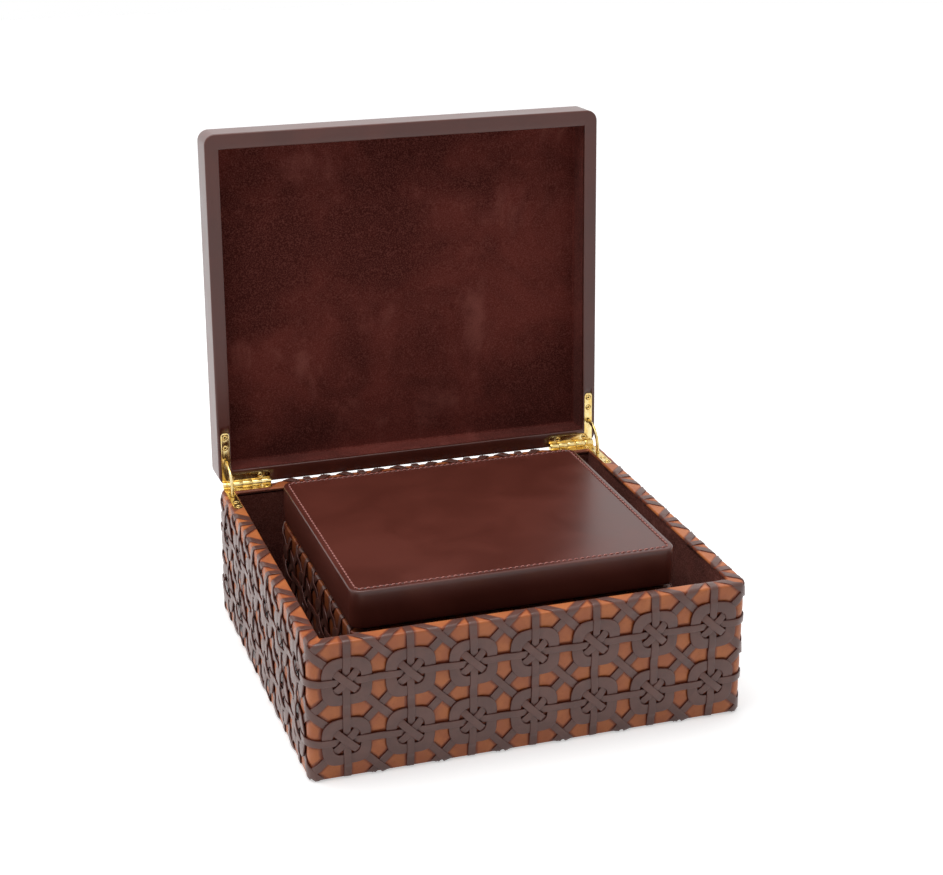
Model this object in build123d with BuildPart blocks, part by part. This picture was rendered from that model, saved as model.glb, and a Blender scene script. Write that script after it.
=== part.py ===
"""A lidded jewellery box in woven leather, standing open, with a smaller box of the same make inside it.

Millimetres. +Z is up, the front faces -Y and the origin is on the table under the middle of the large
box. The large lid is drawn closed and then turned back to the angle at which its stay arms hold it.
"""

from build123d import *
import os
from dataclasses import dataclass
from math import asin, cos, degrees, pi, radians, sin

# Large box
large_width = 300.0
large_depth = 260.0
large_height = 96.0
large_lid_height = 26.0
large_lid_overhang = 1.4
large_columns_wide = 7
large_columns_deep = 6
large_rows = 2
large_pitch = 42.0
large_row_drop = 26.8

# Small box, which stands on the floor of the large one
small_width = 226.0
small_depth = 188.0
small_height = 73.0
small_lid_height = 26.4
small_lid_overhang = 0.0
small_set_forward = 4.0
small_columns_wide = 5
small_columns_deep = 4
small_rows = 1
small_pitch = 45.0
small_row_drop = 28.0

# Walls, boards and skins, alike on both boxes
leather = 1.2
lining = 1.2
wall_board = 7.6
base_board = 7.5
top_board = 2.5
pad = 1.0
pad_inset = 5.0
floor_lining = 1.5
corner_round = 7.0
rim_round = 2.0
lid_corner_round = 8.0
lid_top_round = 2.5
lid_mouth_round = 1.0
seam_inset = 4.5
lid_gap = 3.0

# Woven lattice
strap_width = 5.0
strap = 1.2
ring_size = 33.0
ring_hole = 18.5
ring_round = 10.0
ring_hole_round = 6.0
ring = 1.2
hinge_margin = 2.0

# Quadrant hinges, alike on both boxes
pin_set_back = 0.7
pin_radius = 1.2
pin_fit = 0.05
knuckle_radius = 2.6
knuckles = 5
knuckle_play = 0.25
barrel_relief = 0.3
plate = 2.0
plate_fit = 0.1
side_leg_length = 39.5
side_leg_margin = 2.4
rear_leg_length = 38.5
rear_leg_reach = 7.0
leg_end_round = 2.5
tongue_reach = 1.0
screw_head_radius = 2.2
screw_radius = 1.2
screw_fit = 0.05
screw_length = 9.0
screw_recess = 0.8
screw_recess_depth = 0.6
side_screws = (28.0, 36.0)
rear_screws = (9.0, 31.0)
rear_screw_line = 4.4

# Stay arms, which hold each lid open
lid_open = 93.4
stay_radius = 18.0
stay_width = 3.0
stay_thickness = 1.6
stay_side_play = 0.3
stay_slot_play = 0.5
stay_lug = 1.5
stay_lug_angle = 4.5
stay_stop_play = 1.3
mortise_play = 0.5

wall = leather + wall_board + lining
floor_level = pad + base_board + floor_lining
leg_width = wall - lining - side_leg_margin
stay_inset = side_leg_margin + leg_width / 2
pin_length = rear_leg_length - side_leg_margin
stay_stop_angle = degrees(asin((plate + lid_gap / 2) / (stay_radius - stay_width / 2))) + stay_stop_play
stay_end_angle = stay_stop_angle + stay_lug_angle


@dataclass
class Case:
    """The sizes of one box.

    Its body stands on `foot`, `back` is how far its middle lies behind the origin, and its lid reaches
    past the body's leather by `lid_overhang` at the front and at the back.
    """

    name: str
    width: float
    depth: float
    height: float
    lid_height: float
    lid_overhang: float
    foot: float
    back: float
    columns_wide: int
    columns_deep: int
    rows: int
    pitch: float
    row_drop: float

    @property
    def rim(self):
        return self.foot + self.height

    @property
    def mouth(self):
        return self.rim + lid_gap

    @property
    def lid_top(self):
        return self.mouth + self.lid_height

    @property
    def pin(self):
        return Vector(0, self.back + self.depth / 2 + pin_set_back, self.rim + lid_gap / 2)

    @property
    def hinge_axis(self):
        return Axis(self.pin, (-1, 0, 0))


large = Case(
    "large",
    large_width,
    large_depth,
    large_height,
    large_lid_height,
    large_lid_overhang,
    0.0,
    0.0,
    large_columns_wide,
    large_columns_deep,
    large_rows,
    large_pitch,
    large_row_drop,
)
small = Case(
    "small",
    small_width,
    small_depth,
    small_height,
    small_lid_height,
    small_lid_overhang,
    floor_level,
    -small_set_forward,
    small_columns_wide,
    small_columns_deep,
    small_rows,
    small_pitch,
    small_row_drop,
)


def keep(part, name):
    """Label a finished piece and write it out."""
    part.label = name
    export_step(part, f"parts/{name}.step")


def level(case, z):
    """The horizontal plane at height z, centred on the box."""
    return Plane(origin=(0, case.back, z))


def block(case, inset, low, high, corner, top_round=0.0, foot_round=0.0, over=0.0):
    """A block with round upright corners, `inset` inside the box's outline and `over` deeper each way."""
    with BuildPart() as form:
        with BuildSketch(level(case, low)):
            RectangleRounded(case.width - 2 * inset, case.depth + 2 * (over - inset), corner - inset)
        extrude(amount=high - low)
        if top_round:
            fillet(form.edges().group_by(Axis.Z)[-1], top_round - inset)
        if foot_round:
            fillet(form.edges().group_by(Axis.Z)[0], foot_round)
    return form.part


def hollow(case, inset, low, high):
    """A square-cornered block that fills the space inside the walls."""
    with BuildPart() as form:
        with BuildSketch(level(case, low)):
            Rectangle(case.width - 2 * inset, case.depth - 2 * inset)
        extrude(amount=high - low)
    return form.part


def half_space(case, side, low, high, over=0.0):
    """The part of the box's walls on one side, for boards that butt between the front and the back."""
    thick = leather + wall_board
    depth_inside = case.depth - 2 * thick
    off_x = (case.width - thick) / 2
    off_y = (case.depth - thick + over) / 2
    place, size = {
        "front": ((0, -off_y), (case.width, thick + over)),
        "back": ((0, off_y), (case.width, thick + over)),
        "left": ((-off_x, 0), (thick, depth_inside)),
        "right": ((off_x, 0), (thick, depth_inside)),
    }[side]
    with BuildPart() as form:
        with BuildSketch(level(case, low)):
            with Locations(place):
                Rectangle(*size)
        extrude(amount=high - low)
    return form.part


def seats_on(case, own, side):
    """The hinge seats that reach into the wall on this side."""
    return [hinge_seat(case, own, other) for other in ("left", "right") if side in (other, "back", "all")]


# Hinges. They are drawn for the closed lid, on the right-hand side, and mirrored for the left.


def hand(part, side):
    """The part itself on the right, or its mirror image on the left."""
    if side == "right":
        return part
    return mirror(part, about=Plane.YZ)


def side_leg_centre(case):
    return case.width / 2 - stay_inset


def leaf_outline(case, grow=0.0):
    """The L shape of a hinge plate, flat, seen from above."""
    outer = case.width / 2 - side_leg_margin
    rear = case.pin.Y - knuckle_radius + plate_fit
    front = case.back + case.depth / 2 - side_leg_length
    inner_end = case.width / 2 - rear_leg_length
    rear_leg_front = case.back + case.depth / 2 - rear_leg_reach
    with BuildSketch() as outline:
        with BuildLine():
            Polyline(
                (outer, front),
                (outer, rear),
                (inner_end, rear),
                (inner_end, rear_leg_front),
                (outer - leg_width, rear_leg_front),
                (outer - leg_width, front),
                close=True,
            )
        make_face()
        fillet(outline.vertices().sort_by(Axis.Y)[:2], leg_end_round)
        fillet(outline.vertices().group_by(Axis.X)[0].sort_by(Axis.Y)[:1], leg_end_round)
        if grow:
            offset(amount=grow, kind=Kind.INTERSECTION)
    return outline.sketch


def screw_spots(case):
    """Where the screws go: two along the side leg and two along the rear leg."""
    rear_face = case.back + case.depth / 2
    spots = [(side_leg_centre(case), rear_face - run) for run in side_screws]
    spots += [(case.width / 2 - run, rear_face - rear_screw_line) for run in rear_screws]
    return spots


def knuckle_spans(case, own):
    """The lengths of pin in the body's knuckles (first, third, fifth) or the lid's (second, fourth)."""
    start = case.width / 2 - rear_leg_length
    pitch = pin_length / knuckles
    turns = range(0, knuckles, 2) if own == "body" else range(1, knuckles, 2)
    return [(start + pitch * i + knuckle_play / 2, pitch - knuckle_play) for i in turns]


def hinge_plate(case, own, side):
    """One plate of a quadrant hinge, with its knuckles, countersunk holes and the slot for the arm."""
    outward = 1 if own == "body" else -1
    face = case.rim if own == "body" else case.mouth
    low = face - plate if own == "body" else face
    slot_reach = stay_width + 2 * stay_slot_play
    tongue = knuckle_radius + tongue_reach
    outline = leaf_outline(case)
    with BuildPart() as leaf:
        with BuildSketch(Plane.XY.offset(low)):
            add(outline)
        extrude(amount=plate)
        for start, length in knuckle_spans(case, own):
            with BuildSketch(Plane(origin=(start, case.pin.Y, case.pin.Z), x_dir=(0, 1, 0), z_dir=(1, 0, 0))):
                Circle(knuckle_radius)
                with Locations((-tongue / 2, -outward * (plate / 2 + lid_gap / 2))):
                    Rectangle(tongue, plate)
            extrude(amount=length)
        with BuildSketch(Plane(origin=(0, case.pin.Y, case.pin.Z), z_dir=(1, 0, 0))):
            Circle(pin_radius + pin_fit)
        extrude(amount=case.width, mode=Mode.SUBTRACT)
        with BuildSketch(Plane.XY.offset(low)):
            with Locations((side_leg_centre(case), case.pin.Y - stay_radius)):
                Rectangle(stay_thickness + 2 * stay_side_play, slot_reach)
        extrude(amount=plate, mode=Mode.SUBTRACT)
        for spot in screw_spots(case):
            with Locations(Plane(origin=(*spot, face), z_dir=(0, 0, outward))):
                CounterSinkHole(screw_radius + screw_fit, screw_head_radius + screw_fit, depth=plate)
    return hand(leaf.part, side)


def hinge_seat(case, own, side):
    """The space that a plate, its mortise, its screws and the barrel take out of the wood and the leather."""
    face = case.rim if own == "body" else case.mouth
    outward = 1 if own == "body" else -1
    low = face - plate if own == "body" else face - lid_gap
    stay_outer = stay_radius + stay_width / 2 + stay_lug
    half_swing = radians(lid_open / 2 + stay_end_angle)
    deep = max(stay_outer * sin(min(half_swing, pi / 2)), stay_outer) + mortise_play - lid_gap / 2
    behind = (stay_radius - stay_width / 2 - stay_lug) * cos(half_swing) - mortise_play
    ahead = stay_outer + mortise_play
    start = case.width / 2 - rear_leg_length - barrel_relief
    outline = leaf_outline(case, grow=plate_fit)
    rebate = 2 * (knuckle_radius + tongue_reach + plate_fit)
    with BuildPart() as seat:
        with BuildSketch(Plane.XY.offset(low)):
            add(outline)
            with Locations((start + pin_length / 2 + barrel_relief, case.pin.Y)):
                Rectangle(pin_length + 2 * barrel_relief, rebate)
        extrude(amount=plate + lid_gap)
        with BuildSketch(Plane(origin=(start, case.pin.Y, case.pin.Z), z_dir=(1, 0, 0))):
            Circle(knuckle_radius + barrel_relief)
        extrude(amount=pin_length + 2 * barrel_relief)
        with BuildSketch(Plane.XY.offset(face)):
            with Locations((side_leg_centre(case), case.pin.Y - (ahead + behind) / 2)):
                Rectangle(stay_thickness + 2 * stay_side_play, ahead - behind)
        extrude(amount=-outward * deep)
        for spot in screw_spots(case):
            with BuildSketch(Plane(origin=(*spot, face))):
                Circle(screw_radius + screw_fit)
            extrude(amount=-outward * (screw_length + screw_fit))
    return hand(seat.part, side)


def hinge_pin(case, side):
    start = case.width / 2 - rear_leg_length
    with BuildPart() as rod:
        with BuildSketch(Plane(origin=(start, case.pin.Y, case.pin.Z), z_dir=(1, 0, 0))):
            Circle(pin_radius)
        extrude(amount=pin_length)
    return hand(rod.part, side)


def screw_set(case, own):
    """The eight countersunk screws that hold one lid's or one body's two hinge plates."""
    face = case.rim if own == "body" else case.mouth
    outward = 1 if own == "body" else -1
    head_depth = screw_head_radius - screw_radius
    with BuildPart() as screws:
        for spot in screw_spots(case):
            for x in (spot[0], -spot[0]):
                with BuildSketch(Plane(origin=(x, spot[1], face), x_dir=(1, 0, 0), z_dir=(0, -outward, 0))):
                    with BuildLine():
                        Polyline(
                            (0, 0),
                            (screw_head_radius, 0),
                            (screw_radius, -head_depth),
                            (screw_radius, -screw_length + screw_radius),
                            (0, -screw_length),
                            close=True,
                        )
                    make_face()
                revolve(axis=Axis((x, spot[1], face), (0, 0, outward)))
                with BuildSketch(Plane(origin=(x, spot[1], face))):
                    Rectangle(2 * screw_head_radius - screw_recess, screw_recess / 2)
                    Rectangle(screw_recess / 2, 2 * screw_head_radius - screw_recess)
                extrude(amount=-outward * screw_recess_depth, mode=Mode.SUBTRACT)
    return screws.part


def ring_sector(inner, outer, start, stop):
    """A flat sector between two circles, its angles in degrees from straight ahead, upward."""
    with BuildSketch() as sector:
        with BuildLine():
            near = CenterArc((0, 0), inner, 180 - stop, stop - start)
            far = CenterArc((0, 0), outer, 180 - stop, stop - start)
            Line(near @ 0, far @ 0)
            Line(near @ 1, far @ 1)
        make_face()
    return sector.sketch


def stay_arm(case, side, lid_angle):
    """The curved arm, its ends widened to stay in the slots. It turns at half the rate of the lid."""
    first = -lid_open / 2 - stay_end_angle + lid_angle / 2
    last = lid_open / 2 + stay_end_angle + lid_angle / 2
    inner = stay_radius - stay_width / 2
    outer = stay_radius + stay_width / 2
    near = (side_leg_centre(case) - stay_thickness / 2, case.pin.Y, case.pin.Z)
    middle = Plane(origin=near, x_dir=(0, 1, 0), z_dir=(1, 0, 0))
    sectors = [
        ring_sector(inner, outer, first, last),
        ring_sector(inner - stay_lug, outer + stay_lug, first, first + stay_lug_angle),
        ring_sector(inner - stay_lug, outer + stay_lug, last - stay_lug_angle, last),
    ]
    with BuildPart() as arm:
        with BuildSketch(middle):
            for sector in sectors:
                add(sector)
        extrude(amount=stay_thickness)
    return hand(arm.part, side)


# Body of a box


def body_board(case, side):
    """One wall of the carcass, rounded where the leather turns over it, and cut away under the hinges."""
    top = case.rim - leather
    foot = case.foot + pad + base_board
    carcass = block(case, leather, foot, top, corner_round, rim_round)
    side_of_it = half_space(case, side, foot, top)
    seats = seats_on(case, "body", side)
    with BuildPart() as board:
        add(carcass)
        add(side_of_it, mode=Mode.INTERSECT)
        for seat in seats:
            add(seat, mode=Mode.SUBTRACT)
    return board.part


def body_leather(case):
    """The leather over the outside, turned over the rim down to the lining."""
    foot = case.foot + pad
    outside = block(case, 0, foot, case.rim, corner_round, rim_round)
    carcass = block(case, leather, foot, case.rim - leather, corner_round, rim_round)
    inside = hollow(case, wall, foot, case.rim)
    seats = seats_on(case, "body", "all")
    with BuildPart() as cover:
        add(outside)
        for taken in (carcass, inside, *seats):
            add(taken, mode=Mode.SUBTRACT)
    return cover.part


def body_base(case):
    foot = case.foot + pad
    return block(case, leather, foot, foot + base_board, corner_round)


def body_pad(case):
    return block(case, pad_inset, case.foot, case.foot + pad, corner_round)


def body_wall_lining(case):
    low = case.foot + pad + base_board
    against_boards = hollow(case, wall - lining, low, case.rim - leather)
    inside = hollow(case, wall, low, case.rim - leather)
    with BuildPart() as ring_lining:
        add(against_boards)
        add(inside, mode=Mode.SUBTRACT)
    return ring_lining.part


def body_floor_lining(case):
    low = case.foot + pad + base_board
    return hollow(case, wall, low, low + floor_lining)


# Lattice


def lines_of(case, across):
    """Column places along a wall, and the heights of the rows of rings."""
    count = case.columns_wide if across else case.columns_deep
    columns = [(i - (count - 1) / 2) * case.pitch for i in range(count)]
    rows = [case.rim - case.row_drop - i * case.pitch for i in range(case.rows)]
    return columns, rows


def wall_net(case, across, low, high):
    """Uprights, rails and diagonals of one wall, flat: x along the wall, y up."""
    columns, rows = lines_of(case, across)
    length = (case.width if across else case.depth) + 2 * strap
    reach = 2 * (high - low)
    crossings = [columns[0] - case.pitch + i * case.pitch for i in range(len(columns) + 2)]
    with BuildSketch() as net:
        with Locations(*[(x, (low + high) / 2) for x in columns]):
            Rectangle(strap_width, high - low)
        with Locations(*[(0, z) for z in rows]):
            Rectangle(length, strap_width)
        for lean in (-45, 45):
            with Locations(*[Location((x, rows[0], 0), (0, 0, lean)) for x in crossings]):
                Rectangle(strap_width, 2 * reach)
            with Locations(*[Location((x, rows[-1], 0), (0, 0, lean)) for x in crossings]):
                Rectangle(strap_width, 2 * reach)
        with Locations((0, (low + high) / 2)):
            Rectangle(length, high - low, mode=Mode.INTERSECT)
    return net.sketch


def walls(case):
    """The four outside faces: plane with its normal outward, and whether it runs across the box."""
    middle = Vector(0, case.back, 0)
    half_w = case.width / 2
    half_d = case.depth / 2
    return [
        (Plane(origin=middle + Vector(0, -half_d, 0), x_dir=(1, 0, 0), z_dir=(0, -1, 0)), True),
        (Plane(origin=middle + Vector(0, half_d, 0), x_dir=(-1, 0, 0), z_dir=(0, 1, 0)), True),
        (Plane(origin=middle + Vector(-half_w, 0, 0), x_dir=(0, -1, 0), z_dir=(-1, 0, 0)), False),
        (Plane(origin=middle + Vector(half_w, 0, 0), x_dir=(0, 1, 0), z_dir=(1, 0, 0)), False),
    ]


def hinge_clearing(case):
    """The space over the hinges that the straps leave free."""
    inner_end = case.width / 2 - rear_leg_length - hinge_margin
    front = case.back + case.depth / 2 - side_leg_length - hinge_margin
    low = case.rim - rim_round
    with BuildPart() as clearing:
        with BuildSketch(Plane.XY.offset(low)):
            for x in (-case.width / 2, case.width / 2):
                with Locations((x, case.back + case.depth / 2)):
                    Rectangle(2 * (case.width / 2 - inner_end), 2 * (case.back + case.depth / 2 - front))
        extrude(amount=case.mouth - low)
    return clearing.part


def rim_net(case, across):
    """The same straps where they turn over the rim: x along the wall, y inward from the outer face."""
    columns, rows = lines_of(case, across)
    quarter = pi / 2 * rim_round
    turned = case.rim - rim_round + quarter - rim_round - rows[0]
    crossings = [columns[0] - case.pitch + i * case.pitch for i in range(len(columns) + 2)]
    half = (case.width if across else case.depth) / 2
    with BuildSketch() as net:
        with Locations(*[(x, 0) for x in columns]):
            Rectangle(strap_width, 4 * wall)
        for lean in (-45, 45):
            shift = turned if lean < 0 else -turned
            with Locations(*[Location((x + shift, 0, 0), (0, 0, lean)) for x in crossings]):
                Rectangle(strap_width, 8 * wall)
        with BuildSketch(mode=Mode.INTERSECT):
            with BuildLine():
                Polyline(
                    (-half - strap, -strap),
                    (half + strap, -strap),
                    (half - wall, wall),
                    (-half + wall, wall),
                    close=True,
                )
            make_face()
    return net.sketch


def lattice_straps(case):
    """The straps, as one layer that follows the walls, the round corners and the rim."""
    foot = case.foot + pad
    turn = rim_round * (1 - cos(pi / 4))
    corner_turn = corner_round * (1 - cos(pi / 4))
    over_straps = block(case, -strap, foot, case.rim + strap, corner_round, rim_round)
    under_straps = block(case, 0, foot, case.rim, corner_round, rim_round)
    inside = hollow(case, wall, case.rim, case.rim + strap)
    clearing = hinge_clearing(case)
    nets = {across: wall_net(case, across, foot, case.rim - turn) for across in (True, False)}
    rim_nets = {across: rim_net(case, across) for across in (True, False)}
    with BuildPart() as pattern:
        for face, across in walls(case):
            with BuildSketch(face.offset(-corner_turn)):
                add(nets[across])
            extrude(amount=corner_turn + strap)
            top = Plane(origin=face.origin + Vector(0, 0, case.rim - turn), x_dir=face.x_dir, z_dir=(0, 0, 1))
            with BuildSketch(top):
                add(rim_nets[across])
            extrude(amount=turn + strap)
    with BuildPart() as straps:
        add(over_straps)
        for taken in (under_straps, inside, clearing):
            add(taken, mode=Mode.SUBTRACT)
        add(pattern.part, mode=Mode.INTERSECT)
    return straps.part


def lattice_rings(case):
    """The square rings with round corners, laid over the straps' crossings."""
    with BuildPart() as rings:
        for face, across in walls(case):
            columns, rows = lines_of(case, across)
            with BuildSketch(face.offset(strap)):
                with Locations(*[(x, z) for x in columns for z in rows]):
                    RectangleRounded(ring_size, ring_size, ring_round)
                    RectangleRounded(ring_hole, ring_hole, ring_hole_round, mode=Mode.SUBTRACT)
            extrude(amount=ring)
    return rings.part


# Lid of a box, drawn closed


def lid_board(case, side):
    """One rail of the lid's frame, under its top board."""
    low = case.mouth + leather
    high = case.lid_top - leather - top_board
    over = case.lid_overhang
    frame = block(case, leather, low, high, lid_corner_round, over=over)
    side_of_it = half_space(case, side, low, high, over)
    seats = seats_on(case, "lid", side)
    with BuildPart() as rail:
        add(frame)
        add(side_of_it, mode=Mode.INTERSECT)
        for seat in seats:
            add(seat, mode=Mode.SUBTRACT)
    return rail.part


def lid_top_board(case):
    high = case.lid_top - leather
    low = high - top_board
    return block(case, leather, low, high, lid_corner_round, lid_top_round, over=case.lid_overhang)


def lid_side_band(case):
    """The leather over the lid's sides and mouth, up to the seam on the top."""
    low = case.mouth + leather
    high = case.lid_top - leather
    over = case.lid_overhang
    outside = block(case, 0, case.mouth, case.lid_top, lid_corner_round, lid_top_round, lid_mouth_round, over)
    frame = block(case, leather, low, high, lid_corner_round, lid_top_round, over=over)
    mouth = hollow(case, wall, case.mouth, low)
    top_panel = lid_top_leather(case)
    seats = seats_on(case, "lid", "all")
    with BuildPart() as band:
        add(outside)
        for taken in (frame, mouth, top_panel, *seats):
            add(taken, mode=Mode.SUBTRACT)
    return band.part


def lid_top_leather(case):
    low = case.lid_top - leather
    return block(case, seam_inset, low, case.lid_top, lid_corner_round, over=case.lid_overhang)


def lid_lining(case):
    """The suede inside the lid: its walls and the panel under the top board."""
    low = case.mouth + leather
    high = case.lid_top - leather - top_board
    against_frame = hollow(case, wall - lining, low, high)
    inside = hollow(case, wall, low, high - lining)
    with BuildPart() as tray:
        add(against_frame)
        add(inside, mode=Mode.SUBTRACT)
    return tray.part


def write_case(case, lid_angle):
    """Every piece of one box, its lid turned up by lid_angle."""

    def raised(part):
        return part.rotate(case.hinge_axis, lid_angle) if lid_angle else part

    for side in ("front", "back", "left", "right"):
        keep(body_board(case, side), f"{case.name}_{side}_board")
        keep(raised(lid_board(case, side)), f"{case.name}_lid_{side}_rail")
    keep(body_base(case), f"{case.name}_base_board")
    keep(body_pad(case), f"{case.name}_base_pad")
    keep(body_leather(case), f"{case.name}_leather_cover")
    keep(body_wall_lining(case), f"{case.name}_wall_lining")
    keep(body_floor_lining(case), f"{case.name}_floor_lining")
    keep(lattice_straps(case), f"{case.name}_lattice_straps")
    keep(lattice_rings(case), f"{case.name}_lattice_rings")
    keep(raised(lid_top_board(case)), f"{case.name}_lid_top_board")
    keep(raised(lid_side_band(case)), f"{case.name}_lid_side_band")
    keep(raised(lid_top_leather(case)), f"{case.name}_lid_top_leather")
    keep(raised(lid_lining(case)), f"{case.name}_lid_lining")
    keep(screw_set(case, "body"), f"{case.name}_body_screws")
    keep(raised(screw_set(case, "lid")), f"{case.name}_lid_screws")
    for side in ("left", "right"):
        keep(hinge_plate(case, "body", side), f"{case.name}_{side}_body_plate")
        keep(raised(hinge_plate(case, "lid", side)), f"{case.name}_{side}_lid_plate")
        keep(hinge_pin(case, side), f"{case.name}_{side}_pin")
        keep(stay_arm(case, side, lid_angle), f"{case.name}_{side}_stay_arm")


os.makedirs("parts", exist_ok=True)
write_case(large, lid_open)
write_case(small, 0.0)
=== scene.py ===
"""Looks of a woven-leather jewellery box that stands open with a smaller box of the same make inside.

Metres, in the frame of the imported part: +Z up, the front faces -Y. New pieces are grids of points worked out
as whole arrays. The outside of a box is unrolled for this: s runs round the box from the middle of the front,
t runs up the wall, over the rim and down inside, and h stands off the leather.
"""

import math

import bmesh
import bpy
import numpy as np
from mathutils import Matrix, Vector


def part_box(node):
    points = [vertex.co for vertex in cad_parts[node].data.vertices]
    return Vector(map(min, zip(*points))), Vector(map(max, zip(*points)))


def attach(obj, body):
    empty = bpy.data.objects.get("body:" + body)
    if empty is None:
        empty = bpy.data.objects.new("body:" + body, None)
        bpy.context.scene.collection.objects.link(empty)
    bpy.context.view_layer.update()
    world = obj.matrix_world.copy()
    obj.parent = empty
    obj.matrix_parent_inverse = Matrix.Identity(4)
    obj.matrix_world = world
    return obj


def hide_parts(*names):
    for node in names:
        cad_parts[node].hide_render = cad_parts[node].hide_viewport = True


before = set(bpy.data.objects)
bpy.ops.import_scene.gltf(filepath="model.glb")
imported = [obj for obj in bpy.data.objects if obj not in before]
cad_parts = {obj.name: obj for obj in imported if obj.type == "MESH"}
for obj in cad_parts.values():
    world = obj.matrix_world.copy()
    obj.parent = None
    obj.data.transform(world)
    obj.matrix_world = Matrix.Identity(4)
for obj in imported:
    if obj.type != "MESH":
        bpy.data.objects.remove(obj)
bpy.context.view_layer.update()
chance = np.random.RandomState(11)

MM = 0.001

# Walls and leather, as in the part
WALL = 10.0 * MM
LEATHER = 1.2 * MM
LINING = 1.2 * MM
CORNER_ROUND = 7.0 * MM
RIM_ROUND = 1.2 * MM
RIM_INNER_ROUND = 1.4 * MM
FOOT_ROUND = 0.8 * MM
TUCK_UNDER = 4.0 * MM
TUCK_INSIDE = 2.0 * MM
HIDE_STEP = 1.4 * MM
SWELL = 0.4 * MM
SWELL_RUN = 2.2 * MM

# Woven straps and rings
STRAP_WIDTH = 5.1 * MM
RAIL_WIDTH = 4.8 * MM
STRAP_THICK = 0.95 * MM
RIM_THICK_SHARE = 0.55
BACK_RIM_THICK_SHARE = 1.6
BACK_RIM_SWELL = 0.8 * MM
SLACK = 1.6 * MM
RING_HALF = 16.5 * MM
RING_HOLE_HALF = 9.25 * MM
RING_SQUARENESS = 3.5
RING_HOLE_SQUARENESS = 3.3
RING_THICK = 1.05 * MM
RING_LIFT = 1.05 * MM
STEP = 1.5 * MM
WANDER = 0.3 * MM
HINGE_MARGIN = 2.0 * MM

# Lids
LID_CORNER_ROUND = 8.0 * MM
LID_TOP_ROUND = 1.0 * MM
LID_MOUTH_ROUND = 1.0 * MM
LIP_ROUND = 0.6 * MM
LIP_RETURN = 2.2 * MM
PANEL_SWELL = 0.25 * MM
TRAY_CORNER_ROUND = 1.2 * MM
TRAY_COVE = 1.6 * MM
TRAY_CROWN = 0.9 * MM
SEAM_INSET = 3.9 * MM
SEAM_GROOVE = 0.9 * MM
SEAM_DEPTH = 0.45 * MM
WELT_RISE = 0.12 * MM
STITCH_PITCH = 4.2 * MM
STITCH_LENGTH = 3.5 * MM
STITCH_RADIUS = 0.5 * MM
STITCH_RISE = 0.75 * MM
STITCH_SLANT = math.radians(9)
LID_OPEN = math.radians(93.4)

# Hinges
LEG_WIDTH = 6.4 * MM
REAR_REACH = 7.0 * MM
PLATE = 2.0 * MM
PLATE_FIT = 0.1 * MM
KNUCKLE_RADIUS = 2.6 * MM
PLATE_EDGE_ROUND = 0.3 * MM
PIN_EDGE_ROUND = 0.2 * MM
BED_REACH = 6.0 * MM
BED_ROUND = 2.4 * MM

# Screws: their lines and places on a plate's legs, and the (radius, height) profile of a head
SIDE_LEG_LINE = 5.6 * MM
SIDE_SCREWS = (28.0 * MM, 36.0 * MM)
REAR_SCREWS = (9.0 * MM, 31.0 * MM)
REAR_SCREW_LINE = 4.4 * MM
HEAD_PROFILE = MM * np.array(
    [(0, -1.5), (1.2, -1.5), (1.85, -0.5), (1.85, -0.05), (1.6, 0.16), (1.0, 0.3)]
    + [(0.8, 0.24), (0.7, -0.4), (0, -0.5)]
)
HEAD_MARKS = np.array([0, 0, 0.6, 0.6, 0, 0, 0.2, 1, 1])

# The camera that the photograph was taken with, as fitted to the object's corners
CAMERA_PLACE = (-0.40386, -1.15175, 0.64981)
CAMERA_YAW = math.radians(17.991)
CAMERA_PITCH = math.radians(18.092)
CAMERA_ROLL = math.radians(0.227)
CAMERA_FOCAL_PIXELS = 1898.86
CAMERA_CENTRE = (429.58, 322.82)
PICTURE = (943, 875)
SENSOR = 36.0

# Light and table
WORLD_FRONT = 0.06
WORLD_BACK = 1.0
OVERHEAD_POWER = 16.0
LOW_POWER = 1.6
TABLE_LIFT = 0.5
TABLE_HALF = 3.0


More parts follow.
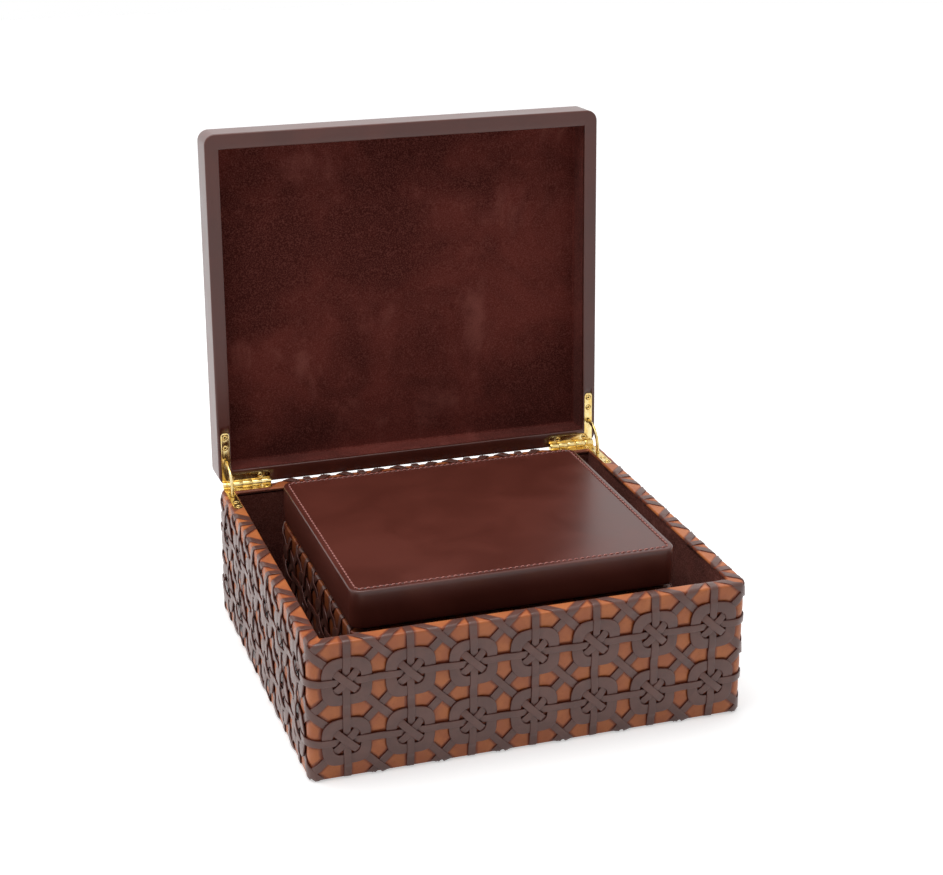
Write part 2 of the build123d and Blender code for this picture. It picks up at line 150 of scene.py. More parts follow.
class Case:
    """One box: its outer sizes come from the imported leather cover, its lattice repeats the part's counts."""

    def __init__(self, name, columns_wide, columns_deep, rows, pitch, row_drop, lid_angle):
        low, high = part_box(f"{name}_leather_cover")
        self.name = name
        self.half = np.array([(high.x - low.x) / 2, (high.y - low.y) / 2])
        self.middle = np.array([(high.x + low.x) / 2, (high.y + low.y) / 2])
        self.foot = low.z
        self.rim = high.z
        self.height = high.z - low.z
        self.pitch = pitch
        self.rows = self.height - row_drop - pitch * np.arange(rows)
        self.lid_angle = lid_angle
        pin_low, pin_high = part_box(f"{name}_left_pin")
        self.pin = (pin_low + pin_high) / 2
        self.round_outline(columns_wide, columns_deep)
        self.lid_low, self.lid_high = self.closed_box(f"{name}_lid_side_band")
        self.lid_reach = (self.lid_high - self.lid_low)[:2] / 2 - self.half
        self.profile = body_profile(self)

    def round_outline(self, columns_wide, columns_deep):
        """Lengths along the outline, and where each column of rings stands on it."""
        straight = 2 * self.half - 2 * CORNER_ROUND
        corner = math.pi / 2 * CORNER_ROUND
        self.sides = np.array([straight[0], straight[1]] * 2)
        self.starts = np.concatenate([[0], np.cumsum(self.sides + corner)])
        self.around = self.starts[-1]
        counts = [columns_wide, columns_deep] * 2
        places = []
        for side, count in enumerate(counts):
            middle = self.starts[side] + self.sides[side] / 2
            places.append(middle + (np.arange(count) - (count - 1) / 2) * self.pitch)
        self.columns = np.concatenate(places) - self.sides[0] / 2
        self.count = len(self.columns)
        turns = np.array([-1, 0, 1])
        self.all_s = (self.columns[None, :] + turns[:, None] * self.around).ravel()
        self.all_u = (np.arange(self.count)[None, :] + turns[:, None] * self.count).ravel().astype(float)

    def column_of(self, s):
        """The column number at s, with fractions between columns."""
        return np.interp(s, self.all_s, self.all_u)

    def place_of(self, u):
        """The s of a column number."""
        return np.interp(u, self.all_u, self.all_s)

    def closed_box(self, node):
        """Lowest and highest corner of a lid's piece once its lid is turned back to closed."""
        points = self.turned(points_of(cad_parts[node].data), self.lid_angle)
        return points.min(0), points.max(0)

    def turned(self, points, angle):
        """The points turned about the hinge pin, where a positive angle closes an open lid."""
        y = points[:, 1] - self.pin.y
        z = points[:, 2] - self.pin.z
        cos, sin = math.cos(angle), math.sin(angle)
        return np.stack([points[:, 0], self.pin.y + y * cos - z * sin, self.pin.z + y * sin + z * cos], -1)


# Meshes


def points_of(mesh):
    """The vertices of a mesh as rows of x, y and z."""
    points = np.zeros(len(mesh.vertices) * 3)
    mesh.vertices.foreach_get("co", points)
    return points.reshape(-1, 3)


def linked(name, data):
    """A new object of the scene that carries the data."""
    thing = bpy.data.objects.new(name, data)
    bpy.context.scene.collection.objects.link(thing)
    return thing


def grid_faces(rows, columns, start=0, close_rows=False, close_columns=False):
    """Four-sided faces over a grid numbered row by row; a closed direction joins its last to its first."""
    i = np.arange(rows if close_rows else rows - 1)
    j = np.arange(columns if close_columns else columns - 1)
    i, j = np.meshgrid(i, j, indexing="ij")
    down = (i + 1) % rows
    along = (j + 1) % columns
    faces = np.stack([i * columns + j, down * columns + j, down * columns + along, i * columns + along], -1)
    return (faces.reshape(-1, 4) + start).tolist()


class Batch:
    """Grids collected into one mesh, with one number for each point where a finish needs it."""

    def __init__(self):
        self.points = []
        self.faces = []
        self.marks = []
        self.size = 0

    def add(self, points, close_rows=False, close_columns=False, caps=False, mark=0.0):
        rows, columns = points.shape[:2]
        self.faces += grid_faces(rows, columns, self.size, close_rows, close_columns)
        if caps:
            self.faces.append(list(range(self.size, self.size + columns)))
            last = self.size + (rows - 1) * columns
            self.faces.append(list(range(last + columns - 1, last - 1, -1)))
        self.points.append(points.reshape(-1, 3))
        self.marks.append(np.broadcast_to(mark, (rows, columns)).ravel())
        self.size += rows * columns

    def build(self, name, smooth=True):
        """A clean closed mesh object with its normals outward."""
        mesh = bpy.data.meshes.new(name)
        mesh.from_pydata(np.concatenate(self.points).tolist(), [], self.faces)
        layer = mesh.attributes.new("mark", "FLOAT", "POINT")
        layer.data.foreach_set("value", np.concatenate(self.marks).astype(np.float32))
        shell = bmesh.new()
        shell.from_mesh(mesh)
        bmesh.ops.remove_doubles(shell, verts=shell.verts, dist=1e-6)
        bmesh.ops.recalc_face_normals(shell, faces=shell.faces)
        shell.to_mesh(mesh)
        shell.free()
        if smooth:
            mesh.shade_smooth()
        return linked(name, mesh)


def settle(piece):
    """The piece with its modifiers worked into its mesh."""
    graph = bpy.context.evaluated_depsgraph_get()
    done = bpy.data.meshes.new_from_object(piece.evaluated_get(graph))
    piece.modifiers.clear()
    piece.data = done
    return piece


def cut(piece, cutters):
    """Take closed cutter objects out of a closed piece."""
    for cutter in cutters:
        bite = piece.modifiers.new("bite", "BOOLEAN")
        bite.operation = "DIFFERENCE"
        bite.solver = "EXACT"
        bite.object = cutter
    settle(piece)
    for cutter in cutters:
        bpy.data.objects.remove(cutter)
    return piece


def prism(name, corners, low, high):
    """A block over a flat outline, as a grid of two rings with caps."""
    outline = np.array(corners)
    rings = [np.column_stack([outline, np.full(len(outline), z)]) for z in (low, high)]
    batch = Batch()
    batch.add(np.array(rings), close_columns=True, caps=True)
    return batch.build(name, smooth=False)


def finished(piece, material, slot, body, *nodes):
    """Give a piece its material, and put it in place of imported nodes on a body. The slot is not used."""
    piece.data.materials.clear()
    piece.data.materials.append(material)
    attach(piece, body)
    if nodes:
        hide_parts(*nodes)
    return piece


# The unrolled outside of a box


def outline(case, s):
    """Points and outward directions on the outline: each side is a straight run and a quarter turn."""
    s = np.mod(s + case.sides[0] / 2, case.around)
    side = np.clip(np.searchsorted(case.starts, s, side="right") - 1, 0, 3)
    run = s - case.starts[side]
    straight = case.sides[side]
    heading = side * math.pi / 2
    turn = np.clip((run - straight) / CORNER_ROUND, 0, math.pi / 2)
    ahead = np.stack([np.cos(heading), np.sin(heading)], -1)
    out = np.stack([np.sin(heading), -np.cos(heading)], -1)
    normal = np.stack([np.sin(heading + turn), -np.cos(heading + turn)], -1)
    half = np.where(side % 2 == 0, case.half[1], case.half[0]) - CORNER_ROUND
    along = np.minimum(run, straight) - straight / 2
    points = case.middle + out * half[..., None] + ahead * along[..., None] + CORNER_ROUND * normal
    return points, normal


class Profile:
    """A section drawn by its heading: straight runs and arcs in turn, added up along t in fine steps."""

    def __init__(self, start, heading, runs, begin):
        """runs are (length, turn) pairs in metres and radians; t is `begin` at the start point."""
        ends = np.cumsum([0.0] + [length for length, _ in runs]) + begin
        headings = heading + np.cumsum([0.0] + [turn for _, turn in runs])
        self.ends = ends
        self.t = np.linspace(ends[0], ends[-1], 6001)
        self.heading = np.interp(self.t, ends, headings)
        step = np.diff(self.t)
        middle = (self.heading[1:] + self.heading[:-1]) / 2
        self.w = start[0] + np.concatenate([[0], np.cumsum(np.cos(middle) * step)])
        self.z = start[1] + np.concatenate([[0], np.cumsum(np.sin(middle) * step)])

    def at(self, t):
        """Inset, height and heading at t."""
        return [np.interp(t, self.t, column) for column in (self.w, self.z, self.heading)]


def body_profile(case):
    """Under the foot outward, up the wall, over the rim and down inside. On the wall t is the height over the
    foot."""
    quarter = math.pi / 2
    arc = quarter * FOOT_ROUND
    runs = [
        (TUCK_UNDER, 0),
        (arc, -quarter),
        (case.height - FOOT_ROUND - RIM_ROUND, 0),
        (quarter * RIM_ROUND, -quarter),
        (WALL - RIM_ROUND - RIM_INNER_ROUND, 0),
        (quarter * RIM_INNER_ROUND, -quarter),
        (TUCK_INSIDE, 0),
    ]
    begin = FOOT_ROUND - arc - TUCK_UNDER
    return Profile((FOOT_ROUND + TUCK_UNDER, case.foot), math.pi, runs, begin)


def wall_point(case, s, t, h):
    """The point at (s, t, h): the outline point is drawn in towards the inner rectangle by the inset of the
    section, and h is laid off square to the section's heading."""
    inset, z, heading = case.profile.at(t)
    points, normal = outline(case, s)
    inner = case.middle + np.clip(points - case.middle, WALL - case.half, case.half - WALL)
    share = np.clip(inset / WALL, 0, 1.2)[..., None]
    towards = inner - points
    towards = towards / np.linalg.norm(towards, axis=-1, keepdims=True)
    inward = (1 - np.clip(share, 0, 1)) * -normal + np.clip(share, 0, 1) * towards
    flat = points + (inner - points) * share + inward * (-np.sin(heading) * h)[..., None]
    return np.concatenate([flat, (z + np.cos(heading) * h)[..., None]], -1)


def eased(x, places, values):
    """Values at places, with a smooth step from each to the next."""
    places, values = np.array(places), np.array(values)
    k = np.clip(np.searchsorted(places, x, side="right") - 1, 0, len(places) - 2)
    share = np.clip((x - places[k]) / (places[k + 1] - places[k]), 0, 1)
    share = share * share * (3 - 2 * share)
    return values[k] + (values[k + 1] - values[k]) * share


def nearest_row(case, t):
    """Distance up or down to the nearest row of rings."""
    return np.abs(t[..., None] - case.rows).min(-1)


def nearest_crossing(case, t):
    """Distance up or down to the nearest level where diagonals cross between the rings."""
    levels = np.append(case.rows - case.pitch / 2, case.rows[0] + case.pitch / 2)
    return np.abs(t[..., None] - levels).min(-1)


# Straps and rings

SECTION = np.array(
    [(-0.5, 0), (-0.5, 0.7), (-0.485, 0.88), (-0.445, 0.98), (-0.22, 1.0), (0, 1.0)]
    + [(0.22, 1.0), (0.445, 0.98), (0.485, 0.88), (0.5, 0.7), (0.5, 0)]
)
EDGE = (np.abs(SECTION[:, 0]) > 0.46).astype(float)

UPRIGHT_HEIGHTS = ([0, 3.5, 8.4, 9.6, 16.2, 19.5, 40], [0.4, 0.4, 1.05, 1.1, 1.1, 0.3, 0.3])
RAIL_HEIGHTS = ([0, 3.5, 8.4, 9.6, 16.2, 19.5, 40], [0.05, 0.05, 1.1, 1.2, 1.2, 0.85, 0.85])
RISING_HEIGHTS = ([0, 5.0, 11.5, 60], [1.35, 1.3, 0.05, 0.05])
FALLING_HEIGHTS = ([0, 3.6, 6.6, 11.8, 60], [2.3, 2.2, 1.7, 0.05, 0.05])
CROSSING_HEIGHTS = ([0, 2.6, 8.5, 60], [1.1, 1.05, 0.0, 0.0])


def heights(table, distance):
    """A strap's height over the leather from a table in millimetres of distance from a ring's centre."""
    return eased(distance / MM, *table) * MM


def wavering(length):
    """A slow side-to-side drift: two sines of random phase."""
    x = np.linspace(0, 1, length)
    first, second = chance.uniform(0, 2 * math.pi, 2)
    return WANDER * (np.sin(2.2 * math.pi * x + first) + 0.6 * np.sin(5.1 * math.pi * x + second))


def ribbon(case, s, t, h, width, closed=False):
    """A strap: its section is carried along (s, t, h), a across as s - a dt, t + a ds and b up as h + b. Over
    the rim and under the foot it is skived thin."""
    if closed:
        ds = np.full_like(s, 1.0)
        dt = np.zeros_like(s)
    else:
        ds, dt = np.gradient(s), np.gradient(t)
    length = np.hypot(ds, dt)
    a = SECTION[:, 0] * width
    below_rim = (case.height - RIM_ROUND - t) / MM
    facing = outline(case, s)[1]
    behind = np.clip(facing[:, 1], 0, 1)
    thin = RIM_THICK_SHARE + (BACK_RIM_THICK_SHARE - RIM_THICK_SHARE) * behind
    over_rim = eased(below_rim, [-2, 4], [1, 0])
    skive = (1 + (thin - 1) * over_rim) * eased(t / MM, [-1.5, 1.5], [0.05, 1])
    skive = skive * eased((case.profile.ends[-1] - t) / MM, [4, 7.5], [0.2, 1])
    h = h * (1 - 1.5 * np.abs(facing[:, 0] * facing[:, 1]))
    b = SECTION[:, 1] * STRAP_THICK * skive[:, None]
    h = h + back_swell(case, s, t)
    s = s[:, None] - a * (dt / length)[:, None]
    t = t[:, None] + a * (ds / length)[:, None]
    return wall_point(case, s, t, h[:, None] + b)


def back_swell(case, s, t):
    """The padding of the rim between the hinges: full on its top, none on the other sides or near a hinge."""
    points, normal = outline(case, s)
    beside = np.clip((hinge_corner(case)[0] - np.abs(points[..., 0])) / (5 * MM), 0, 1)
    over = eased((case.height - RIM_ROUND - t) / MM, [-3, 1.5], [1, 0])
    inside = eased((case.profile.ends[-1] - t) / MM, [4, 7], [0, 1])
    return BACK_RIM_SWELL * np.clip(normal[..., 1], 0, 1) * beside * over * inside


def edge_marks(case, t):
    """The painted cut edge of a strap, which fades where the strap is skived over the rim."""
    fade = eased((case.height - t) / MM, [1, 6], [0, 1])
    return EDGE * fade[:, None]


def hinge_corner(case):
    """The inner x and the front y of the ground that the hinges take, with a margin."""
    low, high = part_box(f"{case.name}_right_body_plate")
    return low.x - HINGE_MARGIN, low.y - HINGE_MARGIN


def up_to_hinge(case, s, t):
    """The part of a strap's line that comes before a hinge's ground."""
    x, y = hinge_corner(case)
    points = wall_point(case, s, t, np.zeros_like(s))
    over = points[:, 2] > case.rim - RIM_ROUND
    free = ~(over & (np.abs(points[:, 0]) > x) & (points[:, 1] > y))
    stop = len(t) if free.all() else np.argmin(free)
    return s[:stop], t[:stop]


def climb(case):
    """Even steps of t from under the foot to the inside of the rim."""
    first, last = case.profile.ends[0], case.profile.ends[-1]
    return np.linspace(first, last, int((last - first) / STEP * 1.5))


def ends_down(case, t, h):
    """Press a strap's height to the leather at the rim and the foot, and sink its two ends."""
    press = eased(t / MM, [0, 9], [0.1, 1]) * eased((case.height - t) / MM, [0, 7], [0.12, 1])
    sunk = eased((t[-1] - t) / MM, [0, 2.2], [1.5, 0]) + eased(t / MM, [-1.2, 1.2], [0.22, 0])
    return h * press - sunk * MM


def loose(case, s, share):
    """How far a strap stands off the slack left and right walls: a slow random wave."""
    first, second = chance.uniform(0, 2 * math.pi, 2)
    x = np.linspace(0, 1, len(s))
    wave = 0.6 * np.sin(7.0 * x + first) + 0.4 * np.sin(15.0 * x + second)
    sideways = np.clip(4 * np.abs(outline(case, s)[1][:, 0]) - 3, 0, 1)
    return SLACK * sideways * np.clip(wave + 0.25, 0, 1) * share


def lay(case, batch, s, t, h):
    """Add an open strap along (s, t, h), its width a little uneven from one to the next."""
    width = STRAP_WIDTH * chance.uniform(0.96, 1.04)
    points = ribbon(case, s, t, ends_down(case, t, h), width)
    batch.add(points, close_columns=True, caps=True, mark=edge_marks(case, t))


def upright(case, batch, column):
    t = climb(case)
    s, t = up_to_hinge(case, case.columns[column] + wavering(len(t)), t)
    over_rim = eased((t - case.rows[0]) / MM, [0, 17, 25], [1, 1, 0.15])
    h = heights(UPRIGHT_HEIGHTS, nearest_row(case, t)) * over_rim
    h = h + loose(case, s, eased(nearest_row(case, t) / MM, [5, 9], [0, 1]))
    lay(case, batch, s, t, h)


def diagonal(case, batch, column, lean):
    t = climb(case)
    u = column + lean * (t - case.rows[0]) / case.pitch
    s = case.place_of(np.mod(u, case.count)) + wavering(len(t))
    s, t = up_to_hinge(case, np.unwrap(s, period=case.around), t)
    along = math.sqrt(2) * nearest_row(case, t)
    if lean > 0:
        h = heights(RISING_HEIGHTS, along)
    else:
        crossing = math.sqrt(2) * nearest_crossing(case, t)
        h = heights(FALLING_HEIGHTS, along) + heights(CROSSING_HEIGHTS, crossing)
        h = h + loose(case, s, eased(along / MM, [5, 9], [1, 0]))
    lay(case, batch, s, t, h)


def rail(case, batch, row):
    s = np.linspace(0, case.around, int(case.around / STEP), endpoint=False)
    u = case.column_of(s)
    along = np.abs(u - np.round(u)) * case.pitch
    h = heights(RAIL_HEIGHTS, along)
    waver = np.zeros_like(s)
    for turns in (5, 13, 29):
        waver += WANDER * 0.6 * np.sin(2 * math.pi * turns * s / case.around + chance.uniform(0, 2 * math.pi))
    t = np.full_like(s, row) + waver
    width = RAIL_WIDTH * chance.uniform(0.97, 1.03)
    batch.add(ribbon(case, s, t, h, width, closed=True), close_rows=True, close_columns=True, mark=EDGE)


def ring(case, batch, s, t):
    """A flat washer between two rounded squares, |x|^p + |y|^p = a^p, that rises over the diagonals."""
    angle = np.linspace(0, 2 * math.pi, 72, endpoint=False)
    cos, sin = np.abs(np.cos(angle)), np.abs(np.sin(angle))
    size = chance.uniform(0.98, 1.02)
    outer = size * RING_HALF / (cos**RING_SQUARENESS + sin**RING_SQUARENESS) ** (1 / RING_SQUARENESS)
    p = RING_HOLE_SQUARENESS
    inner = RING_HOLE_HALF / (cos**p + sin**p) ** (1 / p)
    share = SECTION[:, 0] * 0.98 + 0.5
    share[[1, 2, 3]] = (0, 0.02, 0.07)
    share[[7, 8, 9]] = (0.93, 0.98, 1)
    radius = inner[:, None] + (outer - inner)[:, None] * share
    lift = RING_LIFT * (np.sin(2 * angle) ** 2) ** 0.6
    tilt = chance.uniform(-0.12, 0.12, 2) * MM
    h = lift[:, None] + SECTION[:, 1] * RING_THICK + 0.05 * MM
    h = h + (radius / RING_HALF) * (tilt[0] * np.cos(angle) + tilt[1] * np.sin(angle))[:, None]
    swing = angle + math.radians(chance.uniform(-2, 2))
    x = s + chance.uniform(-0.3, 0.3) * MM + radius * np.cos(swing)[:, None]
    y = t + chance.uniform(-0.3, 0.3) * MM + radius * np.sin(swing)[:, None]
    edge = ((share < 0.03) | (share > 0.97)).astype(float)
    batch.add(wall_point(case, x, y, h), close_rows=True, close_columns=True, mark=edge)


def pressed_and_shaded(case, s, t):
    """How far the leather swells between the straps: none at a strap, full a few millimetres away. It is also
    the mask of the painted shade beside the straps.
    """
    u = case.column_of(np.mod(s, case.around))
    climbing = (t - case.rows[0]) / case.pitch
    upright_gap = np.abs(u - np.round(u)) * case.pitch
    rail_gap = nearest_row(case, t)
    rising, falling = u - climbing, u + climbing
    diagonal_gap = np.minimum(np.abs(rising - np.round(rising)), np.abs(falling - np.round(falling)))
    diagonal_gap = diagonal_gap * case.pitch / math.sqrt(2)
    gap = np.minimum(np.minimum(upright_gap, diagonal_gap), rail_gap) - STRAP_WIDTH / 2
    cos, sin = np.minimum(upright_gap, 25 * MM), np.minimum(rail_gap, 25 * MM)
    p = RING_SQUARENESS
    from_ring = (cos**p + sin**p) ** (1 / p) - RING_HALF
    gap = np.clip(np.minimum(gap, from_ring + 1.0 * MM), 0, None)
    return 1 - np.exp(-((gap / SWELL_RUN) ** 2))


def cover(case):
    """The hide over the outside: out along the swollen face and back along the board, one closed skin."""
    ends = case.profile.ends
    spans = zip(ends[:-1], ends[1:], (3, 5, int((case.height) / HIDE_STEP), 8, 7, 6, 2))
    t = np.concatenate([np.linspace(a, b, n, endpoint=False) for a, b, n in spans] + [[ends[-1]]])
    s = np.linspace(0, case.around, int(case.around / HIDE_STEP), endpoint=False)
    face_s, face_t = np.meshgrid(s, t)
    swell = pressed_and_shaded(case, face_s, face_t)
    fade = eased((case.height - face_t) / MM, [-9, -3, 3], [0.0, 0.3, 1])
    fade = fade * eased(face_t / MM, [0, 5], [0, 1])
    outside = wall_point(case, face_s, face_t, swell * fade * SWELL + back_swell(case, face_s, face_t))
    back = t[::-1][::4]
    back_s, back_t = np.meshgrid(s, back)
    inside = wall_point(case, back_s, back_t, np.full_like(back_s, -LEATHER))
    batch = Batch()
    # the swell doubles as the mask of painted shade: where it is low, next to the straps, the hide's finish
    # paints the leather darker
    marks = np.concatenate([swell, np.ones_like(back_s)])
    batch.add(np.concatenate([outside, inside]), close_rows=True, close_columns=True, mark=marks)
    return batch.build(f"{case.name}_hide")


def rounded(x, y, hand):
    """Three points round a corner: up from it, drawn in towards it, and along from it on the given hand."""
    near = 0.3 * BED_ROUND
    return [(x, y + BED_ROUND), (x + near * hand, y + near), (x + BED_ROUND * hand, y)]


def hinge_cutters(case, own):
    """Blocks that cut the beds of the two hinge plates and the barrels, for the closed lid."""
    low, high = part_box(f"{case.name}_right_body_plate")
    if own == "body":
        z_low, z_high = case.rim - PLATE - PLATE_FIT, case.rim + BED_REACH
    else:
        z_low, z_high = case.lid_low[2] - BED_REACH, case.lid_low[2] + PLATE + PLATE_FIT
    front, rear = low.y - PLATE_FIT, case.pin.y + 3 * KNUCKLE_RADIUS
    rear_front = case.middle[1] + case.half[1] - REAR_REACH - PLATE_FIT
    blocks = []
    for hand in (1, -1):
        outer, inner = hand * (high.x + PLATE_FIT), hand * (low.x - PLATE_FIT)
        leg = hand * (high.x - LEG_WIDTH - PLATE_FIT)
        first = rounded(outer, front, -hand)
        corners = [first[0], (outer, rear), (inner, rear)] + rounded(inner, rear_front, hand)
        corners += [(leg, rear_front)] + rounded(leg, front, hand) + first[:0:-1]
        blocks.append(prism(f"bed_{own}_{hand}", corners, z_low, z_high))
    return blocks


# Lids, drawn closed and then turned open


def loop(half, radius, per_corner=10):
    """A rectangle with round corners: four sides and four quarter turns, the same count of points for all."""
    radius = max(radius, 0.0)
    points = []
    for side in range(4):
        heading = side * math.pi / 2
        ahead = np.array([math.cos(heading), math.sin(heading)])
        out = np.array([math.sin(heading), -math.cos(heading)])
        long, wide = (half[0], half[1]) if side % 2 == 0 else (half[1], half[0])
        along = np.linspace(-1, 1, 40) * (long - radius)
        points.append(out * wide + ahead * along[:, None])
        turn = heading + np.linspace(0, math.pi / 2, per_corner + 2)[1:-1]
        normal = np.stack([np.sin(turn), -np.cos(turn)], -1)
        centre = out * (wide - radius) + ahead * (long - radius)
        points.append(centre + radius * normal)
    return np.concatenate(points)


def stacked(case, half, radius, rows, reach=0.0):
    """Loops stacked up: each row gives the inset, the height and how far the loop shrinks to the middle. The
    outer loops stand out by `reach`, which fades over the last 3 mm of the wall's thickness."""
    layers = []
    for inset, z, shrink in rows:
        wide = half + reach * np.clip((WALL - inset) / (3 * MM), 0, 1)
        flat = case.middle + loop(wide - inset, radius - inset) * shrink
        layers.append(np.column_stack([flat, np.full(len(flat), z)]))
    return np.array(layers)


def arc(centre, radius, start, stop, steps):
    """Rows (inset, z, 1) on an arc, its angles from +inset towards +z."""
    angle = np.linspace(start, stop, steps)
    return [(centre[0] + radius * math.cos(a), centre[1] + radius * math.sin(a), 1.0) for a in angle]


def lid_band(case):
    """The hide from the mouth, round the sides and over to the seam, and back along the frame."""
    low, high = case.lid_low[2], case.lid_high[2]
    quarter = math.pi / 2
    rows = [(WALL, low + LIP_RETURN, 1.0), (WALL, low + LIP_ROUND, 1.0)]
    rows += arc((WALL - LIP_ROUND, low + LIP_ROUND), LIP_ROUND, 0, -quarter, 4)
    rows += [(inset * MM, low, 1.0) for inset in (7.0, 5.0, 3.0, 2.0)]
    rows += arc((LID_MOUTH_ROUND, low + LID_MOUTH_ROUND), LID_MOUTH_ROUND, -quarter, -2 * quarter, 5)
    rows += [(0.0, z, 1.0) for z in np.linspace(low + 3 * MM, high - 4 * MM, 7)]
    rows += arc((LID_TOP_ROUND, high - LID_TOP_ROUND), LID_TOP_ROUND, 2 * quarter, quarter, 8)
    welt = np.linspace(LID_TOP_ROUND + 0.15 * MM, SEAM_INSET - SEAM_GROOVE / 2, 6)
    rise = np.sin(np.linspace(0, math.pi, 6)) * WELT_RISE
    rows += [(inset, high + up, 1.0) for inset, up in zip(welt, rise)]
    rows += [(SEAM_INSET - 0.2 * MM, high - SEAM_DEPTH * 0.8, 1.0), (SEAM_INSET, high - SEAM_DEPTH, 1.0)]
    rows += [(SEAM_INSET, high - LEATHER, 1.0), (LID_TOP_ROUND, high - LEATHER, 1.0)]
    rows += [(LEATHER, high - LID_TOP_ROUND, 1.0), (LEATHER, low + LEATHER, 1.0)]
    rows += [(WALL - LEATHER, low + LEATHER, 1.0), (WALL - LEATHER, low + LIP_RETURN, 1.0)]
    batch = Batch()
    loops = stacked(case, case.half, LID_CORNER_ROUND, rows, case.lid_reach)
    batch.add(loops, close_rows=True, close_columns=True)
    band = batch.build(f"{case.name}_lid_hide")
    return cut(band, hinge_cutters(case, "lid"))


def lid_panel(case):
    """The top panel inside the seam: nearly flat, a faint swell over its board, closed underneath."""
    high = case.lid_high[2]
    rows = [(SEAM_INSET, high - LEATHER, 0.0), (SEAM_INSET, high - LEATHER, 1.0)]
    rows += [(SEAM_INSET, high - SEAM_DEPTH, 1.0), (SEAM_INSET + 0.2 * MM, high - SEAM_DEPTH * 0.8, 1.0)]
    rows += [(SEAM_INSET + SEAM_GROOVE / 2, high - 0.05 * MM, 1.0), (SEAM_INSET + 1.2 * MM, high, 1.0)]
    shrink = 1 - np.linspace(0, 1, 24) ** 1.3
    rise = PANEL_SWELL * np.sin(math.pi / 2 * (1 - shrink))
    rows += [(SEAM_INSET + 1.3 * MM, high + up, f) for up, f in zip(rise, shrink)]
    batch = Batch()
    batch.add(stacked(case, case.half, LID_CORNER_ROUND, rows, case.lid_reach), close_columns=True)
    return batch.build(f"{case.name}_lid_panel")


def lid_tray(case):
    """The suede in the lid: a panel with a soft crown, coved into the walls, and a back of even thickness."""
    low, high = case.closed_box(f"{case.name}_lid_lining")
    half = (high[:2] - low[:2]) / 2 - LINING
    z_mouth, z_panel = low[2], high[2] - LINING
    shrink = 1 - np.linspace(0, 1, 20)
    rows = [(TRAY_COVE, z_panel - TRAY_CROWN * (1 - f**6), f) for f in shrink[::-1]]
    rows += arc((TRAY_COVE, z_panel - TRAY_COVE), TRAY_COVE, math.pi / 2, math.pi, 7)
    rows += [(0.0, z, 1.0) for z in np.linspace(z_panel - 3 * MM, z_mouth + 0.8 * MM, 5)]
    rows += arc((-LINING / 2, z_mouth + LINING / 2), LINING / 2, 0, -math.pi, 7)
    rows += [(-LINING, high[2], 1.0), (0.0, high[2], 1.0), (0.0, high[2], 0.0)]
    batch = Batch()
    batch.add(stacked(case, half, TRAY_CORNER_ROUND, rows), close_columns=True)
    return batch.build(f"{case.name}_lid_suede")


def seam_line(case):
    """Evenly spaced points and directions along the seam."""
    path = loop(case.half + case.lid_reach - SEAM_INSET, LID_CORNER_ROUND - SEAM_INSET, per_corner=24)
    path = np.vstack([path, path[:1]])
    run = np.concatenate([[0], np.cumsum(np.linalg.norm(np.diff(path, axis=0), axis=1))])
    places = np.linspace(0, run[-1], int(round(run[-1] / STITCH_PITCH)), endpoint=False)

    def at(where):
        where = np.mod(where, run[-1])
        return np.stack([np.interp(where, run, path[:, k]) for k in (0, 1)], -1)

    direction = at(places + 0.5 * MM) - at(places - 0.5 * MM)
    return case.middle + at(places), direction / np.linalg.norm(direction, axis=1, keepdims=True)


def stitches(case):
    """Thread along the seam: each stitch is a bowed capsule, radius falling to its ends as a half ellipse."""
    places, ahead = seam_line(case)
    high = case.lid_high[2]
    v = np.linspace(-1, 1, 9)
    around = np.linspace(0, 2 * math.pi, 8, endpoint=False)
    radius = STITCH_RADIUS * np.sqrt(np.clip(1 - v**4, 0, 1))
    batch = Batch()
    for place, direction in zip(places, ahead):
        slant = STITCH_SLANT * chance.uniform(0.8, 1.2)
        cos, sin = math.cos(slant), math.sin(slant)
        line = np.array([direction[0] * cos - direction[1] * sin, direction[0] * sin + direction[1] * cos])
        across = np.array([-line[1], line[0]])
        run = v * STITCH_LENGTH / 2
        bow = high - SEAM_DEPTH + STITCH_RISE * (1 - v**2)
        flat = place + run[:, None] * line
        x = flat[:, None, 0] + radius[:, None] * np.cos(around) * across[0]
        y = flat[:, None, 1] + radius[:, None] * np.cos(around) * across[1]
        z = bow[:, None] + radius[:, None] * np.sin(around)
        batch.add(np.stack([x, y, z], -1), close_columns=True)
    return batch.build(f"{case.name}_lid_stitches")


# Screws


def screw_heads(case, own):
    """Domed heads with a round recess: each is a profile of radius and height turned about its own axis."""
    half_x, rear = case.half[0], case.middle[1] + case.half[1]
    spots = [(half_x - SIDE_LEG_LINE, rear - run) for run in SIDE_SCREWS]
    spots += [(half_x - run, rear - REAR_SCREW_LINE) for run in REAR_SCREWS]
    face, up = (case.rim, 1) if own == "body" else (case.lid_low[2], -1)
    angle = np.linspace(0, 2 * math.pi, 20, endpoint=False)
    radius, height = HEAD_PROFILE[:, :1], HEAD_PROFILE[:, 1:]
    batch = Batch()
    for hand in (1, -1):
        for x, y in spots:
            rings = [hand * x + radius * np.cos(angle), y + radius * np.sin(angle), face + up * height]
            rings = np.broadcast_arrays(*rings)
            batch.add(np.stack(rings, -1), close_columns=True, mark=HEAD_MARKS[:, None])
    return batch.build(f"{case.name}_{own}_screw_heads")


